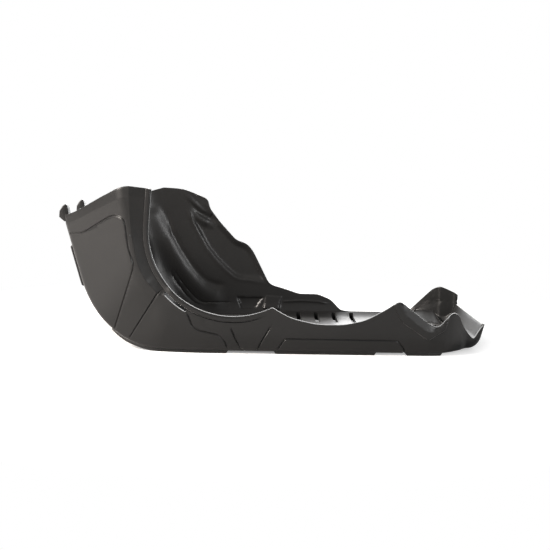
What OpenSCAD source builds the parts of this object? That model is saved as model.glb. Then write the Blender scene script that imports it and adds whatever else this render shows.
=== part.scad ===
// Motorcycle skid plate: one moulded plastic shell that wraps an engine from the front and below.
// The front of the motorcycle is at -X, the left side at -Y. The plate stands on its wear pads at Z 0.
// The shell is a run of U-shaped sections along a spine, from the front edge to the rear lip.

/* [Side view] */
// Height of the front edge above the ground
front_top = 168; // [150:1:185]
// Lean of the front panel from upright, degrees
front_lean = 15.7; // [10:0.1:20]
// Radius of the bow between front panel and floor
bow_r = 113; // [95:1:125]
// Where the bow meets the flat floor
bow_x = -142; // [-150:1:-130]
// Where the floor starts to turn up into the rear lip
tail_x = 260; // [252:1:275]
// Radius of that turn
lip_r = 18; // [14:1:22]
// Height of the top of the rear lip
lip_top = 34; // [30:1:40]
// Rake of the rear lip from upright, degrees
lip_rake = 17; // [8:1:25]

/* [Plan] */
// Half width of the flat front panel
front_half = 75; // [65:1:85]
// How far the middle of the front panel bulges forward
front_crown = 4; // [0:0.5:8]
// Half width of the flat floor
floor_half = 133; // [126:1:135]
// Half width at the knee of the wings
wing_half = 139; // [134:1:145]
// How far the left wing flares out over its height above the knee
left_flare = 13; // [6:1:16]
// How far the right wing flares out over its height above the knee
right_flare = 6; // [4:1:10]
// Half width of the floor at the rear lip
tail_half = 85; // [78:1:95]

/* [Wall] */
// Thickness of the moulded wall
wall = 4; // [3:0.5:5]
// Distance from the front panel back to the knee of the left wing
left_knee = 82; // [76:1:84]
// Distance from the front panel back to the knee of the right wing
right_knee = 90; // [75:1:96]
// Height of the lower bevel along the floor
bevel_h = 18; // [12:1:20]

/* [Left outline] */
// Round cut-out in the left wing: centre along X
rim_x = -50.5; // [-56:0.5:-46]
// Round cut-out: centre height
rim_z = 155.5; // [150:0.5:160]
// Round cut-out: radius
rim_r = 106.5; // [102:0.5:109]
// How far the wing turns inward beside the rim
rim_in = 6; // [3:0.5:8]
// Width of the bead along the rim
bead_w = 6.5; // [5:0.5:7]
// How far the bead stands proud
bead_h = 2; // [1:0.5:3]
// Width of the raised border round the V notch
border_w = 8.8; // [7:0.2:9]
// How far that border stands proud
border_h = 1.6; // [1:0.2:2.4]
// How far the wing's top edge swells above a straight line
wing_swell = 18; // [8:1:20]
// Height of the low wall behind the cut-out
left_low = 40; // [36:1:48]
// Height of the peak in front of the V notch
left_peak = 72; // [60:1:78]
// Height of the bottom of the V notch
notch_low = 38.5; // [33:0.5:42]
// Height of the peak behind the V notch
rear_peak = 56; // [48:1:60]
// Height of the dip in front of the rear lip
dip_low = 16; // [14:1:20]

/* [Right outline] */
// Height of the right wing where its top edge ends
right_top = 198; // [190:1:204]
// Height of the low wall behind the right wing
right_low = 39.5; // [34:0.5:46]
// Height of the open stretch in front of the rear ear
gap_low = 13; // [11:1:18]
// Height of the rear right ear
ear_top = 60; // [50:1:66]

/* [Slots and bores] */
// Width of the curved slot in the left wing beside the rim
curved_w = 4.5; // [3:0.5:5]
// Wall left between the rim and the curved slot
curved_gap = 6.6; // [6:0.2:9]
// Width of a drain slot
slot_w = 5; // [4.5:0.5:7]
// Number of drain slots on each side
slot_count = 4; // [2:1:5]
// Spacing of the drain slots
slot_pitch = 27; // [20:1:32]
// Place of the first drain slot along X
slot_x = 46; // [35:1:52]
// Inner end of the slots from the middle
slot_in = 70; // [60:1:85]
// Outer end of the slots from the middle
slot_out = 117; // [100:1:119]
// Radius of the rear fixing bores
rear_bore_r = 4.25; // [3:0.25:5]
// Distance between the two rear fixing bores
rear_bore_pitch = 90; // [70:2:110]
// Place of the rear fixing bores along X
rear_bore_x = 232; // [225:1:238]
// Radius of the front fixing bores
front_bore_r = 3.25; // [2.5:0.25:4]
// Distance between the two front fixing bores
front_bore_pitch = 76; // [60:2:90]
// Height of the front fixing bores
front_bore_z = 152; // [146:1:154]
// Radius of the bosses round the bores
boss_r = 11; // [9:0.5:13]

/* [Wear pads] */
// How far the wear pads stand proud, which is also the floor's height above ground
pad_t = 3; // [2:0.5:4]
// Gap between the two rows of pads at the middle
pad_gap = 40; // [30:2:60]
// Flat margin between a pad and the edge of the floor
pad_margin = 2; // [1:0.5:6]
// Length over which the first pads rise out of the bow
pad_fade = 30; // [10:2:40]

/* [Front ears] */
// Width of the ears that hook behind the frame tubes
ear_w = 16; // [12:1:20]
// How far the ears stand above the front edge
ear_rise = 15; // [10:1:18]

/* [Hidden] */
$fn = 48;

plastic = [0.10, 0.10, 0.105];
left = -1;
right = 1;

// Spine in the side view: straight front, round bow, flat floor, turned-up rear lip
bow_z = pad_t + bow_r;
front_len = (front_top - bow_z + bow_r * sin(front_lean)) / cos(front_lean);
bow_end = front_len + bow_r * (90 - front_lean) * PI / 180;
floor_end = bow_end + tail_x - bow_x;
lip_turn = 90 - lip_rake;
curl_end = floor_end + lip_r * lip_turn * PI / 180;
lip_foot_x = tail_x + lip_r * sin(lip_turn);
lip_foot_z = pad_t + lip_r * (1 - cos(lip_turn));
spine_end = curl_end + (lip_top - lip_foot_z) / cos(lip_rake);

function floor_at(x) = bow_end + x - bow_x;
function bow_at(s) = front_lean + (s - front_len) / bow_r * 180 / PI;
function curl_at(s) = (s - floor_end) / lip_r * 180 / PI;
function spine(s) =
    s < front_len ? [bow_x - bow_r * cos(front_lean) - (front_len - s) * sin(front_lean),
                     bow_z - bow_r * sin(front_lean) + (front_len - s) * cos(front_lean)]
    : s < bow_end ? [bow_x - bow_r * cos(bow_at(s)), bow_z - bow_r * sin(bow_at(s))]
    : s < floor_end ? [bow_x + s - bow_end, pad_t]
    : s < curl_end ? [tail_x + lip_r * sin(curl_at(s)), pad_t + lip_r * (1 - cos(curl_at(s)))]
    : [lip_foot_x + (s - curl_end) * sin(lip_rake), lip_foot_z + (s - curl_end) * cos(lip_rake)];

// Direction in which the side walls rise from each place on the spine
upright_s = floor_at(-30);
front_fan = 29;
function ray(s) = let (a = lookup(s, [[0, front_lean], [front_len, front_fan], [upright_s, 90]]))
    [cos(a), sin(a)];
// Direction from the spine into the shell, square to the skin
function inward(s) =
    let (a = s < front_len ? front_lean
           : s < bow_end ? bow_at(s)
           : s < floor_end ? 90
           : 90 + min(lip_turn, curl_at(s)))
    [cos(a), sin(a)];

// Sizes of the section at each place along the spine
waist_s = floor_at(-82);
narrow_x = tail_x - 60;
bow_mid = front_len + 70;
bow_late = front_len + 104;
function tail_in(s) = lookup(s, [[floor_at(narrow_x), 0], [floor_end - 44, 0.05], [floor_end - 32, 0.18],
    [floor_end - 15, 0.5], [floor_end - 2, 0.82], [spine_end, 1]]);
function half_floor(s) = lookup(s, [[0, front_half], [front_len, front_half],
    [bow_mid, front_half + 23], [bow_end, floor_half - 6], [waist_s, floor_half]])
    - tail_in(s) * (floor_half - tail_half);
function half_knee(s) = wing_half - tail_in(s) * (wing_half - tail_half - 6);
function flare(s, side) = (side == left ? left_flare : right_flare) * (1 - tail_in(s) / 2);
function knee_h(s, side) =
    let (k = side == left ? left_knee : right_knee,
         mid = side == left ? k - 6 : 0.8 * k,
         late = side == left ? k - 14 : 0.65 * k)
    lookup(s, [[0, k], [front_len, k - 1], [bow_mid, mid], [bow_late, late], [bow_end, bevel_h + 15],
        [waist_s, bevel_h], [floor_at(narrow_x), bevel_h], [spine_end, bevel_h / 3]]);
function crown(s) = lookup(s, [[0, front_crown], [front_len, front_crown], [bow_end, 0]]);

// Path helpers: a corner [x, y, blend] is rounded over its blend length
function unit(v) = v / norm(v);
function flat2(p) = [p[0], p[1]];
function blend_corner(p, a, b, t, n) =
    [for (i = [0:n])
        let (k = i / n, s = p + t * unit(a - p), e = p + t * unit(b - p))
        (1 - k) * (1 - k) * s + 2 * k * (1 - k) * p + k * k * e];
function rounded(pts, n = 3) = [
    flat2(pts[0]),
    for (i = [1:len(pts) - 2])
        each (pts[i][2] > 0
            ? blend_corner(flat2(pts[i]), flat2(pts[i - 1]), flat2(pts[i + 1]), pts[i][2], n)
            : [flat2(pts[i])]),
    flat2(pts[len(pts) - 1])];

// Corners of the top edges of the two side walls, seen from the side
front_edge = spine(0);
cut_from = -2;
cut_to = 118;
cut_out = [for (a = [cut_from:6:cut_to]) [rim_x - rim_r * cos(a), rim_z - rim_r * sin(a), 0]];
left_corners = [
    [22, left_low + 8, 12], [57, left_low, 10], [91, left_low, 10], [117, left_low + 6, 8],
    [142, left_low + 20, 8], [160, left_peak, 5],
    [199, notch_low + 4, 4], [208, notch_low, 3], [213, notch_low + 1.5, 2],
    [228, rear_peak - 1, 3], [233, rear_peak, 2], [240, rear_peak - 3.5, 4],
    [248, (rear_peak + dip_low) / 2 + 1, 4], [259, dip_low + 7, 3], [266, dip_low, 3],
    [275, lip_top - 4, 3], [281, lip_top + 1, 0], [292, lip_top + 1, 0]];
left_edge = rounded(concat(
    [[front_edge[0], front_edge[1], 0], [rim_x - rim_r + 4, rim_z + 50, 0]],
    cut_out,
    left_corners));
right_corners = [
    [-173, right_top + 2, 10], [-132, right_top, 12], [-95, right_top - 15, 6],
    [-92, right_top - 29, 6], [-76, 148, 6], [-51, 121, 6], [-33, 115, 8], [-24, 103, 6],
    [1, right_low + 14, 8], [26, right_low + 7, 6], [47, right_low, 5], [76, right_low, 6],
    [97, right_low - 8.5, 6], [111, gap_low + 2, 4], [124, gap_low, 6], [211, gap_low, 2],
    [219, gap_low + 5, 1], [234, ear_top - 24, 2], [250, ear_top - 4, 5], [258, ear_top, 4],
    [278, ear_top - 8, 4], [292, ear_top - 18, 0]];
right_edge = rounded(concat([[front_edge[0], front_edge[1], 0]], right_corners));

// Distance from a point along a direction to the first crossing of an edge
function cross2(a, b) = a[0] * b[1] - a[1] * b[0];
function reach(p, d, edge) = min([for (i = [0:len(edge) - 2])
    let (e = edge[i + 1] - edge[i], w = edge[i] - p, den = cross2(d, e),
         t = cross2(w, e) / den, u = cross2(w, d) / den)
    abs(den) > 0.000001 && t > 0.01 && u >= -0.000001 && u <= 1.000001 ? t : 1000]);

// Along the left edge: width of the band that turns inward, and how far it turns. The band is widest
// at the upper end of the rim and narrows to the bead alone.
edge_band = 8;
rim_from = 28;
rim_full = 20;
bead_end = floor_at(-6);
border_from = floor_at(149);
border_to = floor_at(229);
slope_from = floor_at(157);
border_band = border_w + 1.4;
function left_band(s) = lookup(s, [[0, rim_from], [front_len, rim_full], [bow_mid, rim_full],
    [bow_late, rim_full - 3], [bow_late + 20, edge_band], [border_from - 8, edge_band],
    [border_from, border_band], [border_to, border_band]]);
function turn_in(s) = rim_in * lookup(s, [[0, 1], [bow_mid, 1], [bow_late, 0.7], [bow_late + 24, 0.2],
    [upright_s, 0.2], [bead_end, 0]]);
// Share of the bead round the cut-out, and of the border round the notch
function bead(s) = lookup(s, [[bead_end - 26, 1], [bead_end, 0]]);
function border(s) = lookup(s, [[border_from, 0], [border_from + 5, 1], [border_to - 6, 1], [border_to, 0]]);
function border_sloped(s) =
    lookup(s, [[slope_from, 0], [slope_from + 5, 1], [border_to - 8, 1], [border_to - 2, 0]]);

// Upward swell of the left wing's top edge above the first section
swell_len = 75;
swell_shape = [[0, 0], [0.5, 0.75], [0.68, 1], [0.88, 0.72], [1, 0.3]];
function swell(s, u, side) =
    s > swell_len || side == right ? 0
    : wing_swell * pow(1 - s / swell_len, 2) * lookup(u, swell_shape);

// Half section as [y, h] points from the middle outwards: floor, corner, knee and wall
tall = 400;
draft_run = 120;
corner_n = 3;
corner_blend = 6;
right_blend = 22;
function left_blend(s) = lookup(s, [[0, 7], [bow_late, 7], [bow_end, 14]]);
function half_base(s, side) =
    let (a = half_floor(s), b = half_knee(s), bh = knee_h(s, side),
         slope = norm([b - a, bh]),
         t1 = min(corner_blend, 0.4 * slope),
         t2 = min(side == left ? left_blend(s) : right_blend, 0.35 * bh, 0.45 * slope))
    concat(
        [for (i = [0:2]) let (y = (a - t1) * i / 3) [y, -crown(s) * (1 - pow(y / a, 2))]],
        blend_corner([a, 0], [0, 0], [b, bh], t1, corner_n),
        [[(a + b) / 2, bh / 2]],
        blend_corner([b, bh], [a, 0], [b + flare(s, side) * tall / draft_run, bh + tall], t2, corner_n),
        [[b + flare(s, side) * tall / draft_run, bh + tall]]);
function point_at(q, j) = let (i = min(floor(j), len(q) - 2)) q[i] + (j - i) * (q[i + 1] - q[i]);
// Index, with its fraction, at which a half section reaches the height h
function index_at(q, h) = max([for (i = [3:len(q) - 2])
    if (q[i][1] <= h) i + min(1, (h - q[i][1]) / (q[i + 1][1] - q[i][1]))]);

// Points along the wall's top edge, as [distance below the edge, step inward, height proud]
step_run = 0.8;
bead_flat = 2;
border_flat = 4.5;
border_slope = 4;
function edge_profile(s, side, room) =
    side == right ? [for (k = [0:2]) [right_band * (1 - k / 2), 0, 0]]
    : let (w = min(left_band(s), room), in = turn_in(s),
           b = border(s) > 0 ? border_w : bead_w,
           c = border(s) > 0 ? border_flat : bead_flat,
           h = bead_h * bead(s) + border_h * border(s),
           sloped = bead(s) + border_slope * border_sloped(s),
           foot = b + step_run)
      [[w, 0, 0], [(w + foot) / 2, in / 2, 0], [foot, in, 0], [b, in, h], [c, in, h], [0, in, h - sloped]];

// The wall above the knee: a plain stretch, then the points along its top edge.
// Where the wall is too low for that, all points slide down the section in proportion.
right_band = 4;
plain_min = 0.8;
wall_unit = 3;
function half_section(s, side, proud) =
    let (q = half_base(s, side),
         foot = len(q) - 2,
         base = q[foot][1],
         lean = (q[foot + 1][0] - q[foot][0]) / tall,
         h = reach(spine(s), ray(s), side == left ? left_edge : right_edge),
         least = side == left ? (border(s) > 0 ? border_band : edge_band) : right_band,
         low = h < base + plain_min + least,
         top = low ? base + plain_min + least : h,
         profile = edge_profile(s, side, top - base - plain_min),
         rises = concat([(top - base - profile[0][0]) / 2], [for (p = profile) top - base - p[0]]),
         steps = concat([0], [for (p = profile) p[1] - (proud ? p[2] : 0)]))
    !low
    ? concat([for (i = [0:foot]) q[i]],
             [for (k = [0:len(rises) - 1]) [q[foot][0] + rises[k] * lean - steps[k], base + rises[k]]])
    : let (last = h < base ? index_at(q, h) : foot + (h - base) / wall_unit,
           full = foot + (plain_min + least) / wall_unit,
           natural = concat([for (i = [3:foot]) i], [for (r = rises) foot + r / wall_unit]))
      concat([for (i = [0:2]) q[i]],
             [for (j = natural) let (at = 3 + (last - 3) * (j - 3) / (full - 3), r = (at - foot) * wall_unit)
                 at < foot ? point_at(q, at) : [q[foot][0] + r * lean, base + r]]);

// Steps from the outer line of a half section to its inner line, one wall away
function wall_steps(q) = [for (i = [0:len(q) - 1])
    let (d0 = unit(i == 0 ? [1, 0] : q[i] - q[i - 1]),
         d1 = unit(i == len(q) - 1 ? q[i] - q[i - 1] : q[i + 1] - q[i]),
         n0 = [-d0[1], d0[0]], n1 = [-d1[1], d1[0]])
    wall * (n0 + n1) / (1 + n0 * n1)];

// Outer and inner skin points of one half section in space
function in_space(s, q, side) = [for (p = q)
    let (at = spine(s) + p[1] * ray(s), u = max(0, p[1]) / q[len(q) - 1][1])
    [at[0], side * p[0], at[1] + swell(s, u, side)]];
function through(s, q, side) = let (n = inward(s))
    [for (w = wall_steps(q)) [w[1] * n[0], side * w[0], w[1] * n[1]]];
// The front edge is bevelled on the outside over its last stretch
front_bevel = 10;
front_bevel_in = 0.6;
function bevelled(s) = front_bevel_in * max(0, 1 - s / front_bevel);
function outer_half(s, side) =
    let (q = half_section(s, side, true), steps = through(s, half_section(s, side, false), side))
    in_space(s, q, side) + bevelled(s) * steps;
function inner_half(s, side) =
    let (q = half_section(s, side, false))
    in_space(s, q, side) + through(s, q, side);

// Stations along the spine: even steps on the curves, and every corner of the edges on the floor
front_steps = 6;
bow_steps = 11;
lip_steps = 5;
widest_step = 14;
closest_step = 3;
function sorted(v) = len(v) < 2 ? v
    : let (m = v[floor(len(v) / 2)])
      concat(sorted([for (e = v) if (e < m) e]), [m], sorted([for (e = v) if (e > m) e]));
function spread(v) = [for (i = [1:len(v) - 1])
    let (gap = v[i] - v[i - 1], n = ceil(gap / widest_step))
    if (gap >= closest_step) for (k = [1:n]) v[i - 1] + k * gap / n];
corner_x = sorted([bow_x, tail_x - closest_step, for (p = concat(left_corners, right_corners))
    if (p[0] > bow_x + closest_step && p[0] < tail_x - closest_step) p[0]]);
stations = concat(
    [0, front_bevel],
    [for (i = [1:front_steps - 1]) front_bevel + i * (front_len - front_bevel) / front_steps],
    [for (i = [0:bow_steps]) front_len + i * (bow_end - front_len) / bow_steps],
    [for (x = spread(corner_x)) floor_at(x)],
    [for (i = [0:lip_steps]) floor_end + i * (curl_end - floor_end) / lip_steps],
    [spine_end]);

function ring(s) =
    let (lo = outer_half(s, left), ro = outer_half(s, right),
         li = inner_half(s, left), ri = inner_half(s, right),
         m = len(lo) - 1, n = len(ro) - 1)
    concat([for (i = [m:-1:1]) lo[i]], ro, [for (i = [n:-1:1]) ri[i]], li);

// The moulded shell as one closed skin
module shell() {
    rings = [for (s = stations) ring(s)];
    m = len(rings);
    n = len(rings[0]);
    half = n / 2;
    sides = [for (i = [0:m - 2], j = [0:n - 1])
        let (a = i * n + j, b = i * n + (j + 1) % n, c = a + n, d = b + n)
        each [[a, d, b], [a, c, d]]];
    caps = [for (j = [0:half - 2])
        let (a = j, b = j + 1, c = n - 1 - j, d = n - 2 - j, e = (m - 1) * n)
        each [[a, b, c], [b, d, c], [a + e, c + e, b + e], [b + e, c + e, d + e]]];
    polyhedron(points = [for (r = rings) each r], faces = concat(sides, caps), convexity = 10);
}

// Raised pad that follows the outer skin from s0 to s1 along the spine, with sloping ends
pad_sink = 1.5;
pad_step = 14;
module pad(s0, s1, margin, side, fade = 0) {
    m = max(1, round((s1 - s0) / pad_step));
    grid = [for (i = [0:m], under = [true, false], k = [0, 0.5, 1])
        let (s = s0 + (s1 - s0) * i / m,
             slope = under && fade == 0 && i == 0 ? pad_t : under && i == m ? -pad_t : 0,
             at = s + slope,
             lift = under ? -pad_t * (fade > 0 ? min(1, (0.3 * fade + s - s0) / fade) : 1) : pad_sink,
             y = pad_gap / 2 + k * (half_floor(at) - margin - pad_gap / 2),
             h = -crown(at) * (1 - pow(y / half_floor(at), 2)),
             p = spine(at) + h * ray(at) + lift * inward(at))
        [p[0], side * y, p[1]]];
    loop = [0, 1, 2, 5, 4, 3];
    skin = [for (i = [0:m - 1], j = [0:5])
        let (a = i * 6 + loop[j], b = i * 6 + loop[(j + 1) % 6])
        each (side > 0 ? [[a, a + 6, b + 6], [a, b + 6, b]] : [[a, b + 6, a + 6], [a, b, b + 6]])];
    ends = [for (j = [0:1], e = [0, m * 6])
        let (a = e + j, b = a + 1, c = a + 3, d = a + 4)
        each ((side > 0) == (e == 0) ? [[a, b, d], [a, d, c]] : [[a, d, b], [a, c, d]])];
    polyhedron(points = grid, faces = concat(skin, ends), convexity = 4);
}

module wear_pads() {
    for (side = [left, right]) {
        pad(bow_end - 70, floor_at(-55), pad_margin, side, pad_fade);
        pad(floor_at(2), floor_at(134), pad_margin, side);
        pad(floor_at(170), floor_at(220), pad_margin, side);
        pad(front_len * 0.45, front_len + 12, pad_margin + 8, side);
    }
}

// Ear at the front edge that hooks behind the frame tube
module front_ear(side) {
    x = front_edge[0];
    z = front_edge[1];
    translate([0, side * (front_half - 12) - ear_w / 2, 0])
        rotate([90, 0, 0]) mirror([0, 0, 1])
            linear_extrude(ear_w)
                polygon([[x + 1, z - 8], [x - 7.5, z + 2], [x - 4, z + ear_rise / 2], [x + 2, z + ear_rise],
                    [x + 6, z + ear_rise - 1], [x + 7, z + 4], [x + 9, z - 4]]);
}

// Bosses round the fixing bores
boss_h = 4;
module rear_boss(side) {
    translate([rear_bore_x, side * rear_bore_pitch / 2, pad_t + wall / 2])
        cylinder(r = boss_r, h = wall / 2 + boss_h);
}
front_bore_x = front_edge[0] + (front_top - front_bore_z) * tan(front_lean);
front_boss_len = wall + 8;
module front_boss(side) {
    translate([front_bore_x - 2, side * front_bore_pitch / 2, front_bore_z])
        rotate([0, 90, 0]) cylinder(r = boss_r, h = front_boss_len);
}

bore_over = 14;
module bores() {
    for (side = [left, right]) {
        translate([rear_bore_x, side * rear_bore_pitch / 2, -1])
            cylinder(r = rear_bore_r, h = pad_t + wall + bore_over);
        translate([front_bore_x - bore_over, side * front_bore_pitch / 2, front_bore_z])
            rotate([0, 90, 0]) cylinder(r = front_bore_r, h = front_boss_len + 2 * bore_over);
    }
}

// Drain slots through the floor
module drain_slots() {
    len = slot_out - slot_in - slot_w;
    for (side = [left, right], i = [0:slot_count - 1])
        translate([slot_x + i * slot_pitch, side * (slot_in + slot_out) / 2, -1])
            linear_extrude(pad_t + wall + 5) {
                square([slot_w, len], center = true);
                for (e = [-1, 1]) translate([0, e * len / 2]) circle(d = slot_w, $fn = 24);
            }
}

// Curved slot through the left wing, along the rim
curved_from = 223;
curved_to = 239;
module curved_slot() {
    r = rim_r + curved_gap + curved_w / 2;
    arc = [for (a = [curved_from:2:curved_to]) a];
    rotate([90, 0, 0])
        linear_extrude(wing_half + left_flare + wall)
            translate([rim_x, rim_z]) {
                polygon(concat(
                    [for (a = arc) (r + curved_w / 2) * [cos(a), sin(a)]],
                    [for (i = [len(arc) - 1:-1:0]) (r - curved_w / 2) * [cos(arc[i]), sin(arc[i])]]));
                for (a = [curved_from, curved_to])
                    translate(r * [cos(a), sin(a)]) circle(d = curved_w, $fn = 16);
            }
}

module skid_plate() {
    color(plastic)
    difference() {
        union() {
            shell();
            wear_pads();
            for (side = [left, right]) {
                front_ear(side);
                rear_boss(side);
                front_boss(side);
            }
        }
        drain_slots();
        curved_slot();
        bores();
    }
}

skid_plate();
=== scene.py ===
"""Motorcycle skid plate: the moulded shell with its rolled rim, panel grooves, relief, slots and wear pads.

The shell is one sheet. It is laid out flat, bent into sections along a spine, cut and scored where the
mould has edges, and thickened inward by one wall. All sizes are millimetres until a mesh is finished.
"""

import math

import bmesh
import bpy
from mathutils import Matrix, Vector


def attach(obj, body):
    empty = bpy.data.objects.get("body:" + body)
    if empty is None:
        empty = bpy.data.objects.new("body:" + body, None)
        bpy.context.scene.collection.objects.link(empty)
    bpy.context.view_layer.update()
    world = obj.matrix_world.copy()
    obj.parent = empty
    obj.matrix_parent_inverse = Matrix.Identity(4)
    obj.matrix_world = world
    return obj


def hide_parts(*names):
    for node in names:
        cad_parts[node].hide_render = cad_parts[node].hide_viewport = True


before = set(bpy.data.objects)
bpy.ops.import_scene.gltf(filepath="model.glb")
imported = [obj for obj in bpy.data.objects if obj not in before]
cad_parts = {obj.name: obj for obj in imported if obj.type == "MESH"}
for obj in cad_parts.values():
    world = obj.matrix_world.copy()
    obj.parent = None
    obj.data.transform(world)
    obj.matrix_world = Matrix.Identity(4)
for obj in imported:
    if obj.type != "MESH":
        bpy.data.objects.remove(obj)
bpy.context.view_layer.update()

MM = 0.001
LEFT = -1
RIGHT = 1


# Sizes shared with the part's source

WALL = 4.0
FRONT_TOP = 168.0
FRONT_LEAN = math.radians(15.7)
BOW_R = 113.0
BOW_X = -142.0
TAIL_X = 260.0
LIP_R = 18.0
LIP_TOP = 34.0
LIP_RAKE = math.radians(17.0)
FRONT_HALF = 75.0
FRONT_CROWN = 4.0
FLOOR_HALF = 133.0
WING_HALF = 139.0
TAIL_HALF = 85.0
LEFT_KNEE = 82.0
RIGHT_KNEE = 90.0
FLARE = {LEFT: 12.0, RIGHT: 5.2}
FLARE_RUN = 120.0
BEVEL_H = 18.0
RIM_X, RIM_Z, RIM_R = -50.5, 155.5, 106.5
RIM_IN = 6.0
BEAD_W, BEAD_H, BEAD_FLAT = 6.5, 2.0, 2.0
SWELL = 17.5
SWELL_LEN = 75.0
BOSS_R = 11.0
EAR_W = 16.0
EAR_RISE = 15.0
EAR_IN = 12.0
PAD_T = 3.0

BOW_Z = PAD_T + BOW_R
FRONT_LEN = (FRONT_TOP - BOW_Z + BOW_R * math.sin(FRONT_LEAN)) / math.cos(FRONT_LEAN)
BOW_END = FRONT_LEN + BOW_R * (math.pi / 2 - FRONT_LEAN)
FLOOR_END = BOW_END + TAIL_X - BOW_X
LIP_TURN = math.pi / 2 - LIP_RAKE
CURL_END = FLOOR_END + LIP_R * LIP_TURN
LIP_FOOT = Vector((TAIL_X + LIP_R * math.sin(LIP_TURN), PAD_T + LIP_R * (1 - math.cos(LIP_TURN))))
SPINE_END = CURL_END + (LIP_TOP - LIP_FOOT.y) / math.cos(LIP_RAKE)


def floor_at(x):
    """Place on the spine of a point x of the flat floor."""
    return BOW_END + x - BOW_X


class Curve:
    """Smooth curve through (x, value) keys that never overshoots them."""

    def __init__(self, *keys):
        self.x = [k[0] for k in keys]
        self.y = [k[1] for k in keys]
        rise = [(self.y[i + 1] - self.y[i]) / (self.x[i + 1] - self.x[i]) for i in range(len(keys) - 1)]
        inner = [0 if a * b <= 0 else 2 * a * b / (a + b) for a, b in zip(rise, rise[1:])]
        self.slope = [0.0] + inner + [0.0]

    def __call__(self, x):
        if x <= self.x[0]:
            return self.y[0]
        if x >= self.x[-1]:
            return self.y[-1]
        i = max(k for k in range(len(self.x) - 1) if self.x[k] <= x)
        w = self.x[i + 1] - self.x[i]
        t = (x - self.x[i]) / w
        a = (1 + 2 * t) * (1 - t) ** 2 * self.y[i] + t * t * (3 - 2 * t) * self.y[i + 1]
        return a + w * t * (1 - t) * ((1 - t) * self.slope[i] - t * self.slope[i + 1])


# The spine, and the directions in which the section stands on it

def spine(s):
    """Point (x, z) of the spine at the length s from the front edge."""
    if s < FRONT_LEN:
        left_over = FRONT_LEN - s
        return Vector((BOW_X - BOW_R * math.cos(FRONT_LEAN) - left_over * math.sin(FRONT_LEAN),
                       BOW_Z - BOW_R * math.sin(FRONT_LEAN) + left_over * math.cos(FRONT_LEAN)))
    if s < BOW_END:
        a = FRONT_LEAN + (s - FRONT_LEN) / BOW_R
        return Vector((BOW_X - BOW_R * math.cos(a), BOW_Z - BOW_R * math.sin(a)))
    if s < FLOOR_END:
        return Vector((BOW_X + s - BOW_END, PAD_T))
    if s < CURL_END:
        a = (s - FLOOR_END) / LIP_R
        return Vector((TAIL_X + LIP_R * math.sin(a), PAD_T + LIP_R * (1 - math.cos(a))))
    return LIP_FOOT + (s - CURL_END) * Vector((math.sin(LIP_RAKE), math.cos(LIP_RAKE)))


def inward(s):
    """Direction from the spine into the shell, square to the skin."""
    if s < FRONT_LEN:
        a = FRONT_LEAN
    elif s < BOW_END:
        a = FRONT_LEAN + (s - FRONT_LEN) / BOW_R
    else:
        a = math.pi / 2 + min(LIP_TURN, max(0, s - FLOOR_END) / LIP_R)
    return Vector((math.cos(a), math.sin(a)))


UPRIGHT = floor_at(-30)
FAN = Curve((-60, FRONT_LEAN - math.radians(9)), (0, FRONT_LEAN), (FRONT_LEN, math.radians(29)),
            (UPRIGHT, math.pi / 2), (UPRIGHT + 60, math.pi / 2))


def ray(s):
    """Direction in which the wings rise from the spine."""
    a = min(FAN(s), math.pi / 2)
    return Vector((math.cos(a), math.sin(a)))


# Sizes of the section along the spine

WAIST = floor_at(-82)
NARROW = floor_at(TAIL_X - 66)
BOW_MID = FRONT_LEN + 70
BOW_LATE = FRONT_LEN + 104
TAIL_IN = Curve((NARROW, 0), (FLOOR_END - 44, 0.05), (FLOOR_END - 32, 0.18), (FLOOR_END - 15, 0.5),
                (FLOOR_END - 2, 0.82), (SPINE_END, 1))
HALF_FLOOR = Curve((0, FRONT_HALF), (FRONT_LEN, FRONT_HALF), (BOW_MID, FRONT_HALF + 23),
                   (BOW_END, FLOOR_HALF - 6), (WAIST, FLOOR_HALF))
CROWN = Curve((FRONT_LEN, FRONT_CROWN), (BOW_END, 0))
SWELL_SHAPE = Curve((0, 0), (0.5, 0.75), (0.68, 1), (0.88, 0.72), (1, 0.3))
KNEE_HEIGHT = {
    LEFT: Curve((0, LEFT_KNEE), (FRONT_LEN, LEFT_KNEE - 1), (BOW_MID, LEFT_KNEE - 6), (BOW_LATE, LEFT_KNEE - 14),
                (BOW_END, BEVEL_H + 15), (WAIST, BEVEL_H), (NARROW, BEVEL_H), (SPINE_END, BEVEL_H / 3)),
    RIGHT: Curve((0, RIGHT_KNEE), (FRONT_LEN, RIGHT_KNEE - 1), (BOW_MID, 0.8 * RIGHT_KNEE),
                 (BOW_LATE, 0.65 * RIGHT_KNEE), (BOW_END, BEVEL_H + 15), (WAIST, BEVEL_H),
                 (NARROW, BEVEL_H), (SPINE_END, BEVEL_H / 3))}
LEFT_BLEND = Curve((0, 7), (BOW_LATE, 7), (BOW_END, 14))
RIGHT_BLEND = 22.0
TAIL_KNEE = 6.0  # how much wider the knees stay than the floor at the rear lip


def half_floor(s):
    return HALF_FLOOR(s) - TAIL_IN(s) * (FLOOR_HALF - TAIL_HALF)


# Along the left edge: the band that turns inward beside the rim, and the bead on the rim

EDGE_BAND = 8.0
BEAD_END = floor_at(-6)
LEFT_BAND = Curve((0, 28), (FRONT_LEN, 20), (BOW_MID, 20), (BOW_LATE, 17), (BOW_LATE + 20, EDGE_BAND),
                  (SPINE_END, EDGE_BAND))
TURN_IN = Curve((0, RIM_IN), (BOW_MID, RIM_IN), (BOW_LATE, 0.7 * RIM_IN), (BOW_LATE + 24, 0.2 * RIM_IN),
                (UPRIGHT, 0.2 * RIM_IN), (BEAD_END, 0))
BEAD = Curve((BEAD_END - 26, 1), (BEAD_END, 0))


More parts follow.
